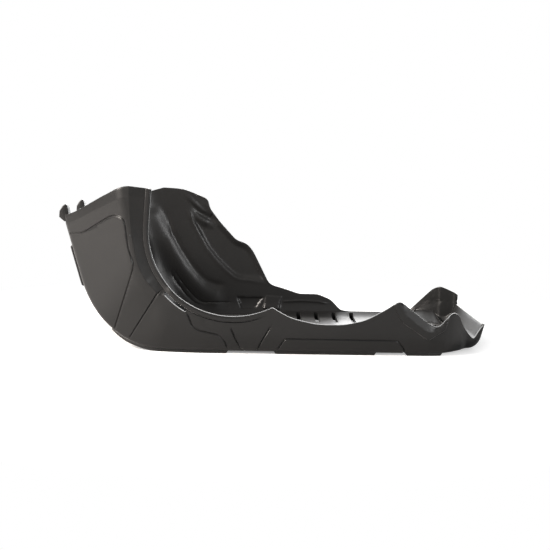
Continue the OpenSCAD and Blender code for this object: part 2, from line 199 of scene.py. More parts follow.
def rounded(points, steps=4):
    """Path through [x, z, blend] corners, each rounded over its blend length."""
    path = [Vector(points[0][:2])]
    for before, corner, after in zip(points, points[1:], points[2:]):
        c = Vector(corner[:2])
        if corner[2] == 0:
            path.append(c)
            continue
        a = c + corner[2] * (Vector(before[:2]) - c).normalized()
        b = c + corner[2] * (Vector(after[:2]) - c).normalized()
        for i in range(steps + 1):
            k = i / steps
            path.append((1 - k) ** 2 * a + 2 * k * (1 - k) * c + k * k * b)
    return path + [Vector(points[-1][:2])]


# Top edges of the side walls, seen from the side: [x, z, blend]

FRONT_EDGE = spine(0)
CUT_OUT = [(RIM_X - RIM_R * math.cos(math.radians(a)), RIM_Z - RIM_R * math.sin(math.radians(a)), 0)
           for a in range(-2, 119, 3)]
LEFT_CORNERS = [
    (22, 48, 12), (57, 40, 10), (91, 40, 10), (117, 46, 8), (142, 60, 8), (160, 72.5, 5),
    (199, 42.5, 4), (208, 38.5, 3), (213, 40, 2), (228, 55, 3), (233, 56, 2), (240, 52.5, 4),
    (248, 37, 4), (259, 23, 3), (266, 16, 3), (275, LIP_TOP - 4, 3), (281, LIP_TOP + 1, 0), (292, LIP_TOP + 1, 0)]
RIGHT_CORNERS = [
    (-173, 200, 10), (-132, 198, 12), (-95, 183, 6), (-92, 169, 6), (-76, 148, 6), (-51, 121, 6), (-33, 115, 8),
    (-24, 103, 6), (1, 53.5, 8), (26, 46.5, 6), (47, 39.5, 5), (76, 39.5, 6), (97, 31, 6), (111, 15, 4),
    (124, 13, 6), (211, 13, 2), (219, 18, 1), (234, 36, 2), (250, 56, 5), (258, 60, 4), (278, 52, 4), (292, 42, 0)]
EDGE = {
    LEFT: rounded([(*FRONT_EDGE, 0), (RIM_X - RIM_R + 4, RIM_Z + 50, 0)] + CUT_OUT + LEFT_CORNERS),
    RIGHT: rounded([(*FRONT_EDGE, 0)] + RIGHT_CORNERS)}


def reach(start, way, edge):
    """Distance from a point along a direction to the first crossing of an edge."""
    best = 1000.0
    for a, b in zip(edge, edge[1:]):
        e = b - a
        w = a - start
        den = way.x * e.y - way.y * e.x
        if abs(den) < 1e-9:
            continue
        t = (w.x * e.y - w.y * e.x) / den
        u = (w.x * way.y - w.y * way.x) / den
        if 0.01 < t < best and -1e-6 <= u <= 1 + 1e-6:
            best = t
    return best


# The half section: floor, corner, slope, knee and wall, each one unit of w

FLOOR_CELLS = 16
CORNER_CELLS = 6
CELLS = {LEFT: {"slope": 14, "knee": 7, "wall": 12},
         RIGHT: {"slope": 10, "knee": 9, "wall": 40}}
RIGHT_BAND = 2.0
PLAIN_MIN = 0.8
WALL_UNIT = 3.0
CORNER_BLEND = 6.0
STEP_RUN = 0.6
EDGE_ROUND = 1.0
EDGE_STEPS = ((1.0, 0.0), (0.5, 0.134), (0.134, 0.5), (0.0, 1.0))


def bend(a, corner, b, k):
    """Point at the share k of a round bend from a past a corner to b."""
    return (1 - k) ** 2 * a + 2 * k * (1 - k) * corner + k * k * b


def rounding(distance):
    """How far the skin draws in, close to a rounded edge at a distance."""
    d = min(max(distance, 0), EDGE_ROUND) / EDGE_ROUND
    return EDGE_ROUND * (1 - math.sqrt(max(0, 1 - (1 - d) ** 2)))


class HalfSection:
    """One half of the section at s, as points (y, h) from the middle outwards."""

    def __init__(self, s, side):
        tail = TAIL_IN(s)
        self.a = half_floor(s)
        half_knee = WING_HALF - tail * (WING_HALF - TAIL_HALF - TAIL_KNEE)
        self.corner = Vector((self.a, 0))
        self.knee = Vector((half_knee, KNEE_HEIGHT[side](s)))
        slope = self.knee - self.corner
        self.t1 = min(CORNER_BLEND, 0.4 * slope.length)
        self.t2 = min(LEFT_BLEND(s) if side == LEFT else RIGHT_BLEND, 0.35 * self.knee.y, 0.45 * slope.length)
        self.rise = slope.normalized()
        self.lean = FLARE[side] * (1 - tail / 2) / FLARE_RUN
        self.foot = self.knee + self.t2 * Vector((self.lean, 1)).normalized()
        self.crown = CROWN(s)
        self.h = reach(spine(s), ray(s), EDGE[side])
        least = EDGE_BAND if side == LEFT else RIGHT_BAND
        self.low = self.h < self.foot.y + PLAIN_MIN + least
        self.top = self.foot.y + PLAIN_MIN + least if self.low else self.h
        self.side = side
        self.profile = self.edge_profile(s, self.top - self.foot.y - PLAIN_MIN)

    def edge_profile(self, s, room):
        """Points along the top edge: distance below it, step inward of the skin, and of its inner side."""
        if self.side == RIGHT:
            return [(RIGHT_BAND, 0, 0)] + [(EDGE_ROUND * d, 0, 0) for d, _ in EDGE_STEPS]
        turn = TURN_IN(s)
        w = min(LEFT_BAND(s), room)
        proud = 0 if self.low else BEAD_H * BEAD(s)
        sloped = 0 if self.low else BEAD(s)
        foot = BEAD_W + STEP_RUN
        top = turn - proud
        line = rounded([(w + 4, 0, 0), (w, 0, min(PLAIN_MIN, 0.45 * (w - foot))), (foot, turn, 0.25),
                        (BEAD_W, top, 0.3), (BEAD_FLAT, top, 0.9), (0, top + sloped, 0)], steps=3)[1:-1]
        line += [Vector((EDGE_ROUND * d, top + sloped * (1 - EDGE_ROUND * d / BEAD_FLAT))) for d, _ in EDGE_STEPS]
        plain = [turn * min(1, max(0, (w - p.x) / (w - foot))) for p in line]
        return [(p.x, p.y, q) for p, q in zip(line, plain)]

    def at(self, w, inset=0.0):
        """Point of the section at the place w, drawn in by an inset on the wall."""
        flat = self.a - self.t1
        if w <= 1:
            y = w * flat
            return Vector((y, -self.crown * (1 - (y / self.a) ** 2)))
        if w <= 2:
            return bend(Vector((flat, 0)), self.corner, self.corner + self.t1 * self.rise, w - 1)
        if w <= 3:
            return (self.corner + self.t1 * self.rise).lerp(self.knee - self.t2 * self.rise, w - 2)
        if w <= 4:
            return bend(self.knee - self.t2 * self.rise, self.knee, self.foot, w - 3)
        rise = (w - 4) * WALL_UNIT
        return self.foot + Vector((rise * self.lean - inset, rise))

    def columns(self):
        """The grid's columns from the middle to the top edge: place w, and the profile's insets there."""
        n = CELLS[self.side]
        w = [i / FLOOR_CELLS for i in range(FLOOR_CELLS + 1)]
        w += [1 + (i + 1) / CORNER_CELLS for i in range(CORNER_CELLS)]
        w += [2 + (i + 1) / n["slope"] for i in range(n["slope"])]
        w += [3 + (i + 1) / n["knee"] for i in range(n["knee"])]
        rise = self.top - self.foot.y
        plain = rise - self.profile[0][0]
        w += [4 + plain * (i + 1) / n["wall"] / WALL_UNIT for i in range(n["wall"] - 1)]
        insets = [(0, 0)] * len(w) + [(p[1], p[2]) for p in self.profile]
        w += [4 + (rise - p[0]) / WALL_UNIT for p in self.profile]
        if self.low:
            last = self.place_of(self.h)
            full = w[-1]
            w = [v if v <= 1 else 1 + (last - 1) * (v - 1) / (full - 1) for v in w]
        return w, insets

    def place_of(self, h):
        """Place w at which the section reaches the height h."""
        if h >= self.foot.y:
            return 4 + (h - self.foot.y) / WALL_UNIT
        low, high = 1.0, 4.0
        for _ in range(30):
            mid = (low + high) / 2
            if self.at(mid).y < h:
                low = mid
            else:
                high = mid
        return low

    def lines(self):
        """Outer points, inner points and the room below the top edge at each of them."""
        places, insets = self.columns()
        outer = [self.at(w, i[0]) for w, i in zip(places, insets)]
        plain = [self.at(w, i[1]) for w, i in zip(places, insets)]
        below = [0.0] * len(plain)
        for i in range(len(plain) - 2, -1, -1):
            below[i] = below[i + 1] + (plain[i + 1] - plain[i]).length
        inner, normals = [], []
        for i, p in enumerate(plain):
            d0 = (p - plain[i - 1]).normalized() if i else Vector((1, 0))
            d1 = (plain[i + 1] - p).normalized() if i < len(plain) - 1 else d0
            n0 = Vector((-d0.y, d0.x))
            n1 = Vector((-d1.y, d1.x))
            step = (n0 + n1) / (1 + n0.dot(n1))
            normals.append(step)
            inner.append(p + WALL * step)
        return outer, inner, normals, below


def swell(s, u, side):
    """Extra height of the left wing's top edge near the front, at the share u of the wing's height."""
    if side == RIGHT or s > SWELL_LEN:
        return 0
    return SWELL * (1 - s / SWELL_LEN) ** 2 * SWELL_SHAPE(u)


# Bevel along the front edge: its height and how far it steps back

FRONT_BEVEL = 11.0
FRONT_BEVEL_IN = 1.5


def half_ring(s, side):
    """Outer points in space and their steps to the inner skin, from the middle to the top edge."""
    section = HalfSection(s, side)
    outer, inner, normals, below = section.lines()
    base, way, into = spine(s), ray(s), inward(s)
    points, through = [], []
    end_gap = min(s, SPINE_END - s)
    bevel = FRONT_BEVEL_IN * max(0, 1 - s / FRONT_BEVEL)
    for p, q, n, gap in zip(outer, inner, normals, below):
        at = base + p.y * way
        z = at.y + swell(s, max(0, p.y) / outer[-1].y, side)
        step = q - p
        draw = max(rounding(gap), rounding(end_gap))
        toward = Vector((n.y * into.x, side * n.x, n.y * into.y))
        total = Vector((step.y * into.x, side * step.x, step.y * into.y))
        points.append(Vector((at.x, side * p.x, z)) + toward * (draw + bevel))
        through.append(total - toward * (2 * draw + bevel))
    return points, through


# Places of the rings along the spine: close on the curves and at the outlines' corners

def even(start, end, step):
    """Places from start up to end, about a step apart, without the end."""
    n = max(1, round((end - start) / step))
    return [start + (end - start) * i / n for i in range(n)]


def ring_places():
    near_edge = [EDGE_ROUND * d for d, _ in reversed(EDGE_STEPS)]
    places = near_edge + even(2.4, FRONT_BEVEL, 2.9)
    places += [FRONT_BEVEL - 0.4, FRONT_BEVEL, FRONT_BEVEL + 0.4] + even(FRONT_BEVEL + 2.5, FRONT_LEN, 3.2)
    places += even(FRONT_LEN, BOW_END, 2.5)
    places += even(BOW_END, floor_at(-14), 3.0) + even(floor_at(-14), floor_at(116), 2.8)
    places += even(floor_at(116), FLOOR_END, 1.9) + even(FLOOR_END, CURL_END, 2.2)
    places += even(CURL_END, SPINE_END - 2, 3.0) + [SPINE_END - p for p in reversed(near_edge)]
    return sorted(set(round(p, 3) for p in places))


def bent_sheet():
    """A flat grid whose vertices are laid on the outer skin. Each keeps its step to the inner skin."""
    places = ring_places()
    rings = []
    for s in places:
        left, left_in = half_ring(s, LEFT)
        right, right_in = half_ring(s, RIGHT)
        rings.append((left[:0:-1] + right, left_in[:0:-1] + right_in))
    across = len(rings[0][0]) - 1
    bm = bmesh.new()
    bmesh.ops.create_grid(bm, x_segments=len(places) - 1, y_segments=across, size=1)
    step = bm.verts.layers.float_vector.new("through")
    for v in bm.verts:
        i = round((v.co.x + 1) / 2 * (len(places) - 1))
        j = round((v.co.y + 1) / 2 * across)
        points, through = rings[i]
        v.co = points[j]
        v[step] = through[j]
    return bm


# Cutting the sheet: a region of faces is gathered once for each feature and kept up to date by the cuts

class Region:
    def __init__(self, bm, points, axis, keep, margin=7.0):
        self.bm = bm
        self.i, self.j = [k for k in range(3) if k != axis]
        low = [min(p[k] for p in points) - margin for k in (0, 1)]
        high = [max(p[k] for p in points) + margin for k in (0, 1)]
        self.faces = set()
        for f in bm.faces:
            c = f.verts[0].co
            if keep(f) and low[0] < c[self.i] < high[0] and low[1] < c[self.j] < high[1]:
                self.faces.add(f)

    def near(self, a, b, margin):
        """Faces with a corner closer than the margin to the segment a b."""
        d = b - a
        long = max(d.length, 1e-6)
        d = d / long
        found = []
        for f in self.faces:
            for v in f.verts:
                p = Vector((v.co[self.i] - a.x, v.co[self.j] - a.y))
                if -margin < p.dot(d) < long + margin and abs(p.x * d.y - p.y * d.x) < margin:
                    found.append(f)
                    break
        return found

    def cut(self, a, b, margin=1.5):
        """Cuts the faces near the segment a b along it, with a plane that holds the axis."""
        d = b - a
        if d.length < 1e-3:
            return
        at, normal = [0, 0, 0], [0, 0, 0]
        at[self.i], at[self.j] = a
        normal[self.i], normal[self.j] = d.y, -d.x
        faces = self.near(a, b, margin)
        edges = {e for f in faces for e in f.edges}
        verts = {v for f in faces for v in f.verts}
        made = bmesh.ops.bisect_plane(self.bm, geom=faces + list(edges) + list(verts), dist=0.03,
                                      plane_co=at, plane_no=normal)
        self.faces.update(g for g in made["geom"] if isinstance(g, bmesh.types.BMFace))

    def cut_path(self, path, offsets=(0,)):
        """Cuts along a path, and along its copies at sideways offsets."""
        for a, b in zip(path, path[1:]):
            n = Vector((b.y - a.y, a.x - b.x)).normalized()
            for d in offsets:
                self.cut(a + n * d, b + n * d)


def vectors(path):
    return [Vector(p) for p in path]


def softened(path, blend=2.2):
    """A groove's path with its corners rounded."""
    return rounded([(*p, blend) for p in path], steps=2)


def inside(p, loop):
    """Whether a point lies inside a closed outline."""
    hit = False
    for a, b in zip(loop, loop[1:] + loop[:1]):
        if (a.y > p.y) != (b.y > p.y) and p.x < (b.x - a.x) * (p.y - a.y) / (b.y - a.y) + a.x:
            hit = not hit
    return hit


def cut_hole(bm, loop, axis, keep):
    """Cuts a closed outline through the sheet and takes out what is inside."""
    region = Region(bm, loop, axis, keep)
    region.cut_path(loop + loop[:1])
    gone = []
    for f in region.faces:
        c = f.calc_center_median()
        if inside(Vector((c[region.i], c[region.j])), loop):
            gone.append(f)
    bmesh.ops.delete(bm, geom=gone, context="FACES")


def slot_loop(x, y0, y1, width, steps=6):
    """Outline of a slot with round ends that runs along Y."""
    r = width / 2
    ends = [(max(y0, y1) - r, 0), (min(y0, y1) + r, math.pi)]
    return [Vector((x + r * math.cos(t + math.pi * k / steps), y + r * math.sin(t + math.pi * k / steps)))
            for y, t in ends for k in range(steps + 1)]


def circle_loop(x, y, r, steps=20):
    """Outline of a round hole."""
    return [Vector((x + r * math.cos(2 * math.pi * k / steps), y + r * math.sin(2 * math.pi * k / steps)))
            for k in range(steps)]


def arc_slot_loop(width, gap, start, end, steps=5):
    """Outline of the curved slot that follows the rim from one angle to the other."""
    middle = RIM_R + gap + width / 2

    def at(r, a):
        return Vector((RIM_X + r * math.cos(math.radians(a)), RIM_Z + r * math.sin(math.radians(a))))
    outer = [at(middle + width / 2, start + (end - start) * k / 8) for k in range(9)]
    inner = [at(middle - width / 2, start + (end - start) * k / 8) for k in range(8, -1, -1)]
    caps = []
    for a, way in ((end, 1), (start, -1)):
        c = at(middle, a)
        out = at(middle + 1, a) - c
        side = Vector((-out.y, out.x))
        caps.append([c + width / 2 * (way * out * math.cos(t) + way * side * math.sin(t))
                     for t in [math.pi * k / steps for k in range(1, steps)]])
    return outer + caps[0] + inner + caps[1]


# Parts of the sheet, told by where a face's first corner lies

WING_FROM = 60.0
FLOOR_BELOW = 6.0
FRONT_BEFORE = -240.0
FRONT_WITHIN = 70.0


def on_left(f):
    return f.verts[0].co.y < -WING_FROM


def on_right(f):
    return f.verts[0].co.y > WING_FROM


def on_floor(f):
    return f.verts[0].co.z < FLOOR_BELOW


def on_front(f):
    return f.verts[0].co.x < FRONT_BEFORE and abs(f.verts[0].co.y) < FRONT_WITHIN


# Drain slots, bores and the curved slot beside the rim

SLOT_W = 6.6
SLOT_X = [46 + 27 * i for i in range(4)]
SLOT_IN = 70.0
SLOT_OUT = {LEFT: 117.0, RIGHT: 130.5}
REAR_BORE = {"x": 232.0, "pitch": 90.0, "r": 4.25}
FRONT_BORE = {"z": 152.0, "pitch": 76.0, "r": 3.25}
CURVED_SLOT = {"width": 4.5, "gap": 6.6, "start": 223, "end": 239}


def open_holes(bm):
    for side in (LEFT, RIGHT):
        for x in SLOT_X:
            cut_hole(bm, slot_loop(x, side * SLOT_IN, side * SLOT_OUT[side], SLOT_W), 2, on_floor)
        y = side * REAR_BORE["pitch"] / 2
        cut_hole(bm, circle_loop(REAR_BORE["x"], y, REAR_BORE["r"]), 2, on_floor)
        y = side * FRONT_BORE["pitch"] / 2
        cut_hole(bm, circle_loop(y, FRONT_BORE["z"], FRONT_BORE["r"], 16), 0, on_front)
    cut_hole(bm, arc_slot_loop(**CURVED_SLOT), 1, on_left)


# Relief seen from the side, as paths of (x, z)

GROOVES = [softened(p) for p in (
    [(-265.6, 145.5), (-248.2, 147), (-243.7, 148.6), (-207, 171.3), (-201, 173), (-194, 173), (-188.5, 170.5),
     (-185.8, 166), (-181.6, 133.3), (-174.6, 113.5), (-176, 105.8), (-203.4, 25.5)],
    [(-140.4, 81.1), (-145.2, 76.3), (-182.3, 15.8)],
    [(-107.4, 53.1), (-102.3, 40.2), (-99.8, 34.4), (-91, 30), (-70.8, 25.8), (-64.5, 22.6), (-60.7, 17.3),
     (-56.8, 7.6)],
    [(-52, 33.3), (-42.9, 12), (-39.5, 6.8), (-35.3, 4.1)],
    [(-18.7, 4.4), (-16.5, 8.5), (-15.1, 13.9), (-2.9, 35.3)],
    [(7.9, 7.2), (16.2, 20.9), (160.3, 20.3), (169.1, 8.4), (169, 1)])]
GROOVE_W = 2.8
GROOVE_DEPTH = 1.3
DENTS = [(Vector((-83, 43)), 8.0, 0.7), (Vector((-153, 92)), 6.5, 0.6)]

# Border round the V notch: outer line, and the line from which its face slopes towards the edge
NOTCH_OUTER = vectors([(149, 80), (153.7, 63.2), (162.9, 45.7), (194.7, 23.6), (197.5, 22.6), (200.5, 22.6),
                       (219.6, 34.6), (223.7, 44.3), (226, 58)])
NOTCH_MIDDLE = vectors([(155, 80), (166.9, 54.8), (196, 33.1), (204.7, 32.7), (223, 45.6), (226, 58)])
NOTCH_STEP = 0.8
NOTCH_PROUD = 1.5
NOTCH_FALL = 2.6

# Inner side of the right wing: lines of its folds, then the outlines of its recesses
CREST = vectors([(-181, 173), (-173, 153), (-164, 130), (-152, 107), (-140, 87), (-129, 71), (-115, 54),
                 (-99, 39), (-82, 28), (-62, 27)])
CREASE = vectors([(-173, 206), (-166, 176), (-158, 158), (-149, 132), (-135, 106), (-121, 85), (-107, 67),
                  (-95, 57), (-81, 52), (-58, 50)])
PANEL = vectors([(-127, 174), (-119, 154), (-108, 133), (-94, 108), (-79, 90), (-66, 77), (-54, 67),
                 (-47, 63.4), (-40, 62), (-21, 61), (-4, 60), (8, 60)])
BAND = vectors([(-127, 171), (-116, 158), (-101, 149), (-85, 142), (-73, 136)])
VALLEY = vectors([(-124, 178), (-107, 163), (-88, 152), (-73, 143)])
LEDGE = vectors([(-133, 196), (-122, 183), (-107, 168), (-93, 158), (-82, 153)])
CORNER_LINES = [vectors([(-146, 74), (-135, 57), (-123, 42), (-110, 29), (-102, 24.5), (-55, 24.5)]),
                vectors([(-151, 70), (-140, 52), (-128, 36.5), (-115, 24.5), (-104, 20)])]
POCKET = vectors([(-48, 33), (-9, 33), (-21, 17), (-41, 16)])
PILASTER = vectors([(-4, 36), (20, 35), (16, 15), (-8, 16)])
LOW_BEAD = vectors([(21, 27), (49, 29), (76, 28), (92, 25)])
EAR_RECESS = vectors([(225, 17), (251, 41), (259, 38), (254, 32)])

CREST_PROUD = 3.2
CREST_RUN = 22.0
CREASE_DEPTH = 2.0
CREASE_RUN = 5.0
PANEL_DEPTH = 3.0
PANEL_LIP = 1.2
PANEL_TO = 6.0
PILASTER_TOP = 36.0

# Path, half width, height and length of the faded ends
RIBS = [(BAND, 9, 3.0, 28), (VALLEY, 6, -1.6, 20), (LEDGE, 5, 1.6, 20), (LOW_BEAD, 2.4, 1.0, 8)]
RIBS += [(line, 1.6, -0.8, 8) for line in CORNER_LINES]

# Path and sideways offsets of the cuts that give the relief its edges
RIGHT_CUTS = [(POCKET + POCKET[:1], (-0.5, 0.5)), (PILASTER + PILASTER[:1], (-0.6, 0.6)),
              (LOW_BEAD, (-1.2, 0, 1.2))]
RIGHT_CUTS += [(line, (-1, 0, 1)) for line in CORNER_LINES]


def nearest(path, p):
    """Distance to a path (positive on its left-hand side), the run along it and its whole length."""
    best, run, found = 1e9, 0.0, (0, 0)
    for a, b in zip(path, path[1:]):
        e = b - a
        long = e.length
        t = min(1, max(0, (p - a).dot(e) / (long * long)))
        gap = (a + t * e - p).length
        if gap < best:
            best = gap
            sign = 1 if (p.x - a.x) * e.y - (p.y - a.y) * e.x < 0 else -1
            found = (sign, run + t * long)
        run += long
    return best * found[0], found[1], run


def smooth(x, a, b):
    """Rises smoothly from 0 at a to 1 at b."""
    t = min(1, max(0, (x - a) / (b - a)))
    return t * t * (3 - 2 * t)


def rib(path, p, width, height, ends):
    """A rounded rib along a path that fades at its ends."""
    d, at, run = nearest(path, p)
    if abs(d) >= width:
        return 0
    return height * (1 - smooth(abs(d), 0, width)) * smooth(min(at, run - at), -0.01, ends)


def well(loop, p, depth, step):
    """A flat-bottomed recess inside a loop (raised where the depth is negative)."""
    d = abs(nearest(loop + loop[:1], p)[0])
    if not inside(p, loop):
        return -depth * (1 - smooth(d, 0, step)) * 0.5 if d < step else 0
    return -depth * (0.5 + 0.5 * smooth(d, 0, step))


# The right edge of the floor rises as a ramp to the foot of the wall

RAMP_RUN = 21.0
RAMP_RISE = 8.5
RAMP_FROM, RAMP_TO = 12.0, 262.0
RAMP_FADE_IN, RAMP_FADE_OUT = 14.0, 12.0
RAMP_FOOT = 4.0   # how far the ramp's foot line lies outside the edge of the floor
RAMP_MOST = 1.4   # share of its rise to which the ramp goes on under the wall
RAMP_BELOW = 34.0


def floor_relief(v):
    """Height of a point of the inner skin, with the ramp at the right edge of the floor."""
    x, y, z = v.co
    foot = half_floor(floor_at(x)) + RAMP_FOOT
    window = smooth(x, RAMP_FROM, RAMP_FROM + RAMP_FADE_IN) * smooth(RAMP_TO - x, 0, RAMP_FADE_OUT)
    grow = 1 + 0.7 * smooth(x, 212, 236)
    rise, run = RAMP_RISE * grow, RAMP_RUN * grow
    t = min(RAMP_MOST, max(0, (y - foot + run) / run))
    return max(z, PAD_T + WALL + window * rise * t)


def left_relief(p):
    """How far the left wing's outer skin stands proud at a point seen from the side."""
    d = min(abs(nearest(path, p)[0]) for path in GROOVES)
    rise = -GROOVE_DEPTH * (1 - d / (GROOVE_W / 2)) if d < GROOVE_W / 2 else 0
    for c, r, depth in DENTS:
        rise -= depth * (1 - smooth((p - c).length, 0, r))
    if p.x > 145 and p.y > 20:
        gap = nearest(NOTCH_OUTER, p)[0]
        border = NOTCH_PROUD * smooth(gap, 0, NOTCH_STEP) * smooth(p.x, 149, 156) * smooth(228 - p.x, 0, 3)
        middle = nearest(NOTCH_MIDDLE, p)[0]
        if middle > 0 and border > 0:
            to_edge = abs(nearest(EDGE[LEFT], p)[0])
            border -= NOTCH_FALL * middle / (middle + to_edge + 0.01) * smooth(p.x, 157, 163)
        rise += border
    return rise


def right_relief(p):
    """How far the right wing's inner side stands proud of its plain wall at a point seen from the side."""
    rise = 0
    crest, at, run = nearest(CREST, p)
    crease = nearest(CREASE, p)[0]
    ends = smooth(at, 0, 20) * smooth(run - at, 0, 25)
    if crest > 0 and 0 <= crease < CREASE_RUN:
        rise -= CREASE_DEPTH * (1 - smooth(crease, 0, CREASE_RUN)) * ends
    elif crest > 0 and crease < 0:
        t = crest / (crest - crease + 0.01)
        rise += (CREST_PROUD - (CREST_PROUD + CREASE_DEPTH) * t * t) * ends
    elif crest <= 0 and -crest < CREST_RUN:
        rise += CREST_PROUD * (1 - smooth(-crest, 0, CREST_RUN)) * ends
    panel, at, run = nearest(PANEL, p)
    start = smooth(at, 0, 30)
    if panel > -1:
        room = smooth(abs(nearest(EDGE[RIGHT], p)[0]), 1.5, 9)
        rise -= PANEL_DEPTH * smooth(panel, -1, 4) * start * room * smooth(PANEL_TO - p.x, 0, 14)
    if -6 < panel < 2:
        rise += PANEL_LIP * smooth(panel, -6, -1) * (1 - smooth(panel, -1, 2)) * start
    rise += sum(rib(path, p, width, height, fade) for path, width, height, fade in RIBS)
    rise += well(POCKET, p, 2.0, 0.9) + well(EAR_RECESS, p, 1.3, 2.5)
    rise += well(PILASTER, p, -0.5 - 0.1 * (PILASTER_TOP - p.y), 1.1)
    return rise


def thicken(bm):
    """Extrudes a sheet and moves the copy by each vertex's step. Gives the vertices of both skins."""
    step = bm.verts.layers.float_vector["through"]
    outer = list(bm.verts)
    grown = bmesh.ops.extrude_face_region(bm, geom=bm.faces[:], use_keep_orig=True)
    inner = [g for g in grown["geom"] if isinstance(g, bmesh.types.BMVert)]
    for v in inner:
        v.co += v[step]
    return outer, inner


RELIEF_TO = 265.0
SOFT_TO = 100.0
SOFT_ABOVE = 24.0
SOFT_EDGE = 2.5
SOFT_PASSES = 2


def build_shell():
    bm = bent_sheet()
    open_holes(bm)
    for path in GROOVES:
        Region(bm, path, 1, on_left).cut_path(path, (-GROOVE_W / 2, 0, GROOVE_W / 2))
    region = Region(bm, NOTCH_OUTER, 1, on_left)
    region.cut_path(NOTCH_OUTER, (0, -NOTCH_STEP))
    region.cut_path(NOTCH_MIDDLE)
    for path, offsets in RIGHT_CUTS:
        Region(bm, path, 1, on_right).cut_path(path, offsets)
    outer, inner = thicken(bm)
    step = bm.verts.layers.float_vector["through"]
    wing = [v for v in inner if v.co.y > WING_FROM]
    for v in wing:
        if v.co.z < RAMP_BELOW and v.co.x > 0:
            v.co.z = floor_relief(v)
        if v.co.x < RELIEF_TO:
            v.co += v[step].normalized() * right_relief(Vector((v.co.x, v.co.z)))
    soft = [v for v in wing if v.co.x < SOFT_TO and v.co.z > SOFT_ABOVE and not v.is_boundary
            and abs(nearest(EDGE[RIGHT], Vector((v.co.x, v.co.z)))[0]) > SOFT_EDGE]
    for _ in range(SOFT_PASSES):
        bmesh.ops.smooth_vert(bm, verts=soft, factor=0.5, use_axis_x=False, use_axis_y=True, use_axis_z=False)
    for v in outer:
        if v.co.y < -WING_FROM:
            v.co -= v[step].normalized() * left_relief(Vector((v.co.x, v.co.z)))
    return bm


# Wear pads, bosses and front ears are pieces of their own with bevelled edges, sunk into the shell

PAD_GAP = 40.0
PAD_MARGIN = 2.0
PAD_FADE = 30.0
PAD_SINK = 1.5
PAD_CELL = 4.0
PAD_ACROSS = 8
EPS = 0.02   # keeps the pads' lowest faces inside the CAD box

# Name, both ends on the spine, margin to the floor's edge and length of the faded start
PADS = [("bow", BOW_END - 70, floor_at(-55), PAD_MARGIN, PAD_FADE),
        ("middle", floor_at(2), floor_at(134), PAD_MARGIN, 0),
        ("rear", floor_at(170), floor_at(220), PAD_MARGIN, 0),
        ("front", FRONT_LEN * 0.45, FRONT_LEN + 12, PAD_MARGIN + 8, 0)]


def bevel_sharp(bm, offset, segments=3, angle=30):
    """Rounds the edges of a solid piece that are sharper than an angle."""
    bmesh.ops.recalc_face_normals(bm, faces=bm.faces[:])
    sharp = [e for e in bm.edges if len(e.link_faces) == 2 and e.calc_face_angle(0) > math.radians(angle)]
    bmesh.ops.bevel(bm, geom=sharp, offset=offset, offset_type="OFFSET", segments=segments, profile=0.5,
                    affect="EDGES", material=-1, clamp_overlap=True)


def wear_pad(s0, s1, margin, side, fade=0):
    """Pad that follows the outer skin, with sloping ends; the first pads rise out of the bow."""
    m = max(2, round((s1 - s0) / PAD_CELL))
    bm = bmesh.new()
    bmesh.ops.create_grid(bm, x_segments=m, y_segments=PAD_ACROSS, size=1)
    step = bm.verts.layers.float_vector.new("through")

    def place(s, j, lift):
        half = half_floor(s)
        y = PAD_GAP / 2 + j * (half - margin - PAD_GAP / 2)
        p = spine(s) - CROWN(s) * (1 - (y / half) ** 2) * ray(s) + lift * inward(s)
        return Vector((p.x, side * y, p.y))
    for v in bm.verts:
        i, j = round((v.co.x + 1) / 2 * m), (v.co.y + 1) / 2
        s = s0 + (s1 - s0) * i / m
        top = place(s, j, PAD_SINK)
        if i == 0 and not fade:
            s += PAD_T
        if i == m:
            s -= PAD_T
        v.co = place(s, j, -(PAD_T - EPS) * (min(1, (0.3 * fade + s - s0) / fade) if fade else 1))
        v[step] = top - v.co
    for x in SLOT_X:
        if s0 < floor_at(x) < s1:
            cut_hole(bm, slot_loop(x, side * SLOT_IN, side * SLOT_OUT[side], SLOT_W), 2, on_floor)
    thicken(bm)
    bevel_sharp(bm, 0.7)
    return bm


def ring_boss(bore, r, low, high, round_r=1.2, steps=48):
    """A turned ring about Z with rounded edges at its top."""
    profile = [(bore, low), (r, low), (r, high - round_r)]
    profile += [(r - round_r * (1 - math.cos(t)), high - round_r * (1 - math.sin(t)))
                for t in (math.pi / 8 * k for k in range(1, 5))]
    profile += [(bore + 0.8, high), (bore, high - 0.8)]
    bm = bmesh.new()
    verts = [bm.verts.new((x, 0, z)) for x, z in profile]
    edges = [bm.edges.new((a, b)) for a, b in zip(verts, verts[1:] + verts[:1])]
    bmesh.ops.spin(bm, geom=verts + edges, cent=(0, 0, 0), axis=(0, 0, 1), angle=2 * math.pi, steps=steps,
                   use_merge=True)
    bmesh.ops.remove_doubles(bm, verts=bm.verts[:], dist=0.001)
    return bm


def rear_boss(side):
    """Boss that stands on the floor round a rear bore."""
    bm = ring_boss(REAR_BORE["r"], BOSS_R, PAD_T + WALL / 2, PAD_T + WALL + 4)
    bmesh.ops.translate(bm, verts=bm.verts[:], vec=(REAR_BORE["x"], side * REAR_BORE["pitch"] / 2, 0))
    return bm


def front_boss(side):
    """Boss behind the front panel round a front bore."""
    x = FRONT_EDGE.x + (FRONT_TOP - FRONT_BORE["z"]) * math.tan(FRONT_LEAN)
    bm = ring_boss(FRONT_BORE["r"], BOSS_R, 0, 10)
    bmesh.ops.rotate(bm, verts=bm.verts[:], cent=(0, 0, 0), matrix=Matrix.Rotation(math.pi / 2, 3, "Y"))
    bmesh.ops.translate(bm, verts=bm.verts[:], vec=(x, side * FRONT_BORE["pitch"] / 2, FRONT_BORE["z"]))
    return bm


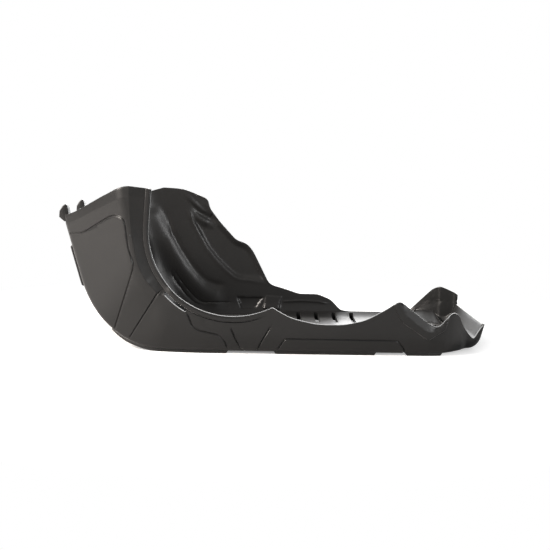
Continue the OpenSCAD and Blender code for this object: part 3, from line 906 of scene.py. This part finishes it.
def front_ear(side):
    """Ear that hooks behind the frame tube above the front edge."""
    x, z = FRONT_EDGE
    outline = [(x + 1, z - 8), (x - 6, z - 2), (x - 5.4, z + 6), (x - 1.5, z + EAR_RISE - 2.5), (x + 2, z + EAR_RISE),
               (x + 4.5, z + EAR_RISE - 1.5), (x + 5.5, z + 8), (x + 6.5, z + 2), (x + 9, z - 4)]
    bm = bmesh.new()
    y = side * (FRONT_HALF - EAR_IN) - EAR_W / 2
    face = bm.faces.new([bm.verts.new((a, y, b)) for a, b in outline])
    grown = bmesh.ops.extrude_face_region(bm, geom=[face], use_keep_orig=True)
    moved = [g for g in grown["geom"] if isinstance(g, bmesh.types.BMVert)]
    bmesh.ops.translate(bm, verts=moved, vec=(0, EAR_W, 0))
    bevel_sharp(bm, 0.9)
    return bm


def finish_piece(bm, name, plastic, sharp=42):
    """Turns a piece into a mesh in metres, with edges sharper than an angle kept sharp."""
    for v in bm.verts:
        v.co = v.co * MM
    bmesh.ops.recalc_face_normals(bm, faces=bm.faces[:])
    mesh = bpy.data.meshes.new(name)
    bm.to_mesh(mesh)
    bm.free()
    for poly in mesh.polygons:
        poly.use_smooth = True
    mesh.set_sharp_from_angle(angle=math.radians(sharp))
    piece = bpy.data.objects.new(name, mesh)
    bpy.context.scene.collection.objects.link(piece)
    piece.data.materials.append(plastic)
    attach(piece, "root")
    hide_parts("skid_plate")


def build_plate(plastic):
    finish_piece(build_shell(), "moulded_shell", plastic)
    for side, word in ((LEFT, "left"), (RIGHT, "right")):
        for place, s0, s1, margin, fade in PADS:
            finish_piece(wear_pad(s0, s1, margin, side, fade), f"{place}_wear_pad_{word}", plastic)
        finish_piece(rear_boss(side), f"rear_boss_{word}", plastic)
        finish_piece(front_boss(side), f"front_boss_{word}", plastic)
        finish_piece(front_ear(side), f"front_ear_{word}", plastic)


# Materials

def srgb(code, alpha=1.0):
    """Linear colour of an sRGB hex value."""
    parts = [int(code[i:i + 2], 16) / 255 for i in (1, 3, 5)]
    return tuple(p / 12.92 if p <= 0.04045 else ((p + 0.055) / 1.055) ** 2.4 for p in parts) + (alpha,)


def add_node(tree, kind, inputs=None, links=None, **settings):
    """Adds a node with its settings, input values and links from other sockets."""
    node = tree.nodes.new(kind)
    for name, value in settings.items():
        setattr(node, name, value)
    for name, value in (inputs or {}).items():
        node.inputs[name].default_value = value
    for name, socket in (links or {}).items():
        tree.links.new(socket, node.inputs[name])
    return node


GRAINS_PER_MM = 0.6
CLOUDS_PER_M = 14.0


def moulded_plastic():
    """Black injection-moulded polyethylene: satin, with a fine spark-eroded grain."""
    mat = bpy.data.materials.new("moulded_polyethylene")
    mat.use_nodes = True
    tree = mat.node_tree
    tree.nodes.clear()
    out = tree.nodes.new("ShaderNodeOutputMaterial")
    shader = add_node(tree, "ShaderNodeBsdfPrincipled", {"IOR": 1.5, "Sheen Weight": 0.35, "Sheen Roughness": 0.3})
    place = tree.nodes.new("ShaderNodeTexCoord").outputs["Object"]
    grain = add_node(tree, "ShaderNodeTexNoise", {"Scale": GRAINS_PER_MM / MM, "Detail": 1.0}, {"Vector": place})
    cloud = add_node(tree, "ShaderNodeTexNoise", {"Scale": CLOUDS_PER_M, "Detail": 3.0}, {"Vector": place})
    tone = add_node(tree, "ShaderNodeValToRGB", links={"Fac": cloud.outputs["Fac"]})
    tone.color_ramp.elements[0].color = srgb("#1d1d1d")
    tone.color_ramp.elements[1].color = srgb("#232323")
    tree.links.new(tone.outputs["Color"], shader.inputs["Base Color"])
    rough = add_node(tree, "ShaderNodeMapRange", {"To Min": 0.3, "To Max": 0.38}, {"Value": cloud.outputs["Fac"]})
    tree.links.new(rough.outputs["Result"], shader.inputs["Roughness"])
    bump = add_node(tree, "ShaderNodeBump", {"Strength": 0.25, "Distance": 0.0001}, {"Height": grain.outputs["Fac"]})
    tree.links.new(bump.outputs["Normal"], shader.inputs["Normal"])
    tree.links.new(shader.outputs["BSDF"], out.inputs["Surface"])
    return mat


PAINTED_SHADE_OVAL = (0.235, 0.11, 1.0)   # half axes in metres of the oval round the plate in which the paper's glow fades out: painted shade there, on top of the lamps' real shadow


def studio_paper():
    """Matt white paper. To the camera it glows plain white, except in an oval round the plate where the glow fades
    out: painted shade there, on top of the plate's real shadow from the lamps.
    """
    mat = bpy.data.materials.new("studio_paper")
    mat.use_nodes = True
    tree = mat.node_tree
    tree.nodes.clear()
    out = tree.nodes.new("ShaderNodeOutputMaterial")
    paper = add_node(tree, "ShaderNodeBsdfDiffuse", {"Color": srgb("#e8e8e8")})
    unseen = add_node(tree, "ShaderNodeBsdfDiffuse", {"Color": srgb("#b4b4b4")})
    place = tree.nodes.new("ShaderNodeTexCoord").outputs["Object"]
    away = add_node(tree, "ShaderNodeVectorMath", {1: PAINTED_SHADE_OVAL}, {0: place}, operation="DIVIDE")
    around = add_node(tree, "ShaderNodeVectorMath", links={0: away.outputs[0]}, operation="LENGTH")
    # Glow on the paper, zero inside the oval round the plate and rising outside it: the dimmer oval is painted shade
    clear = add_node(tree, "ShaderNodeMapRange", {"From Min": 0.85, "From Max": 1.6, "To Max": 0.75},
                     {"Value": around.outputs["Value"]})
    paper_glow = add_node(tree, "ShaderNodeEmission", links={"Strength": clear.outputs[0]})
    seen = add_node(tree, "ShaderNodeAddShader", links={0: paper.outputs[0], 1: paper_glow.outputs[0]})
    white = add_node(tree, "ShaderNodeEmission", {"Strength": 1.0})
    far = add_node(tree, "ShaderNodeVectorMath", links={0: place}, operation="LENGTH")
    blend = add_node(tree, "ShaderNodeMapRange", {"From Min": 0.34, "From Max": 0.62}, {"Value": far.outputs["Value"]})
    to_camera = add_node(tree, "ShaderNodeMixShader",
                         links={0: blend.outputs[0], 1: seen.outputs[0], 2: white.outputs[0]})
    path = tree.nodes.new("ShaderNodeLightPath")
    mix = add_node(tree, "ShaderNodeMixShader",
                   links={0: path.outputs["Is Camera Ray"], 1: unseen.outputs[0], 2: to_camera.outputs[0]})
    tree.links.new(mix.outputs[0], out.inputs["Surface"])
    return mat


WORLD_LIGHT = 0.19


def studio():
    """Plain world light, and a white ground for what the camera sees past the paper."""
    world = bpy.data.worlds.new("studio")
    bpy.context.scene.world = world
    world.use_nodes = True
    tree = world.node_tree
    tree.nodes.clear()
    path = tree.nodes.new("ShaderNodeLightPath")
    plain = add_node(tree, "ShaderNodeBackground", {"Color": srgb("#ffffff"), "Strength": WORLD_LIGHT})
    white = add_node(tree, "ShaderNodeBackground", {"Color": srgb("#ffffff"), "Strength": 1.0})
    mix = add_node(tree, "ShaderNodeMixShader",
                   links={0: path.outputs["Is Camera Ray"], 1: plain.outputs[0], 2: white.outputs[0]})
    out = tree.nodes.new("ShaderNodeOutputWorld")
    tree.links.new(mix.outputs[0], out.inputs["Surface"])


def softbox(name, at, target, size, power, tint="#ffffff"):
    """Rectangular lamp in metres and watts that faces a target."""
    light = bpy.data.lights.new(name, "AREA")
    light.color = srgb(tint)[:3]
    light.shape = "RECTANGLE"
    light.size, light.size_y = size
    light.energy = power
    lamp = bpy.data.objects.new(name, light)
    lamp.location = at
    lamp.rotation_euler = (Vector(target) - Vector(at)).to_track_quat("-Z", "Y").to_euler()
    bpy.context.scene.collection.objects.link(lamp)


def add_floor():
    bm = bmesh.new()
    bmesh.ops.create_grid(bm, x_segments=1, y_segments=1, size=6)
    mesh = bpy.data.meshes.new("floor")
    bm.to_mesh(mesh)
    bm.free()
    floor = bpy.data.objects.new("floor", mesh)
    bpy.context.scene.collection.objects.link(floor)
    floor.data.materials.append(studio_paper())


# Camera at the photograph's viewing angle: metres, and angles given in degrees

CAMERA_AT = Vector((-0.029, -1.345, 0.253))
CAMERA_YAW = math.radians(1.48)
CAMERA_PITCH = math.radians(7.11)
CAMERA_ROLL = math.radians(1.1)
SENSOR = 36.0
FOCAL_PX = 970
IMAGE_PX = 550


def add_camera():
    data = bpy.data.cameras.new("camera")
    data.sensor_width = SENSOR
    data.lens = SENSOR * FOCAL_PX / IMAGE_PX
    data.clip_start = 0.05
    camera = bpy.data.objects.new("camera", data)
    ahead = Vector((math.sin(CAMERA_YAW) * math.cos(CAMERA_PITCH), math.cos(CAMERA_YAW) * math.cos(CAMERA_PITCH),
                    -math.sin(CAMERA_PITCH)))
    level = Vector((math.cos(CAMERA_YAW), -math.sin(CAMERA_YAW), 0))
    up = level.cross(ahead)
    right = level * math.cos(CAMERA_ROLL) + up * math.sin(CAMERA_ROLL)
    turn = Matrix((right, right.cross(ahead), -ahead)).transposed().to_4x4()
    turn.translation = CAMERA_AT
    camera.matrix_world = turn
    bpy.context.scene.collection.objects.link(camera)
    bpy.context.scene.camera = camera


add_camera()
studio()
softbox("key_front_left", (-1.1, -0.6, 0.75), (-0.2, -0.1, 0.08), (0.5, 0.5), 38, "#fff6ee")
softbox("back_low", (0.2, 2.0, 0.8), (0, 0, 0.05), (3.2, 1.4), 64)
softbox("back_high", (0.1, 1.2, 1.5), (0, 0, 0.05), (2.4, 1.0), 8)
softbox("side_right", (0.95, -1.25, 0.5), (-0.15, 0.1, 0.1), (0.3, 0.5), 6)
add_floor()
build_plate(moulded_plastic())

bpy.context.scene.view_settings.view_transform = "Standard"
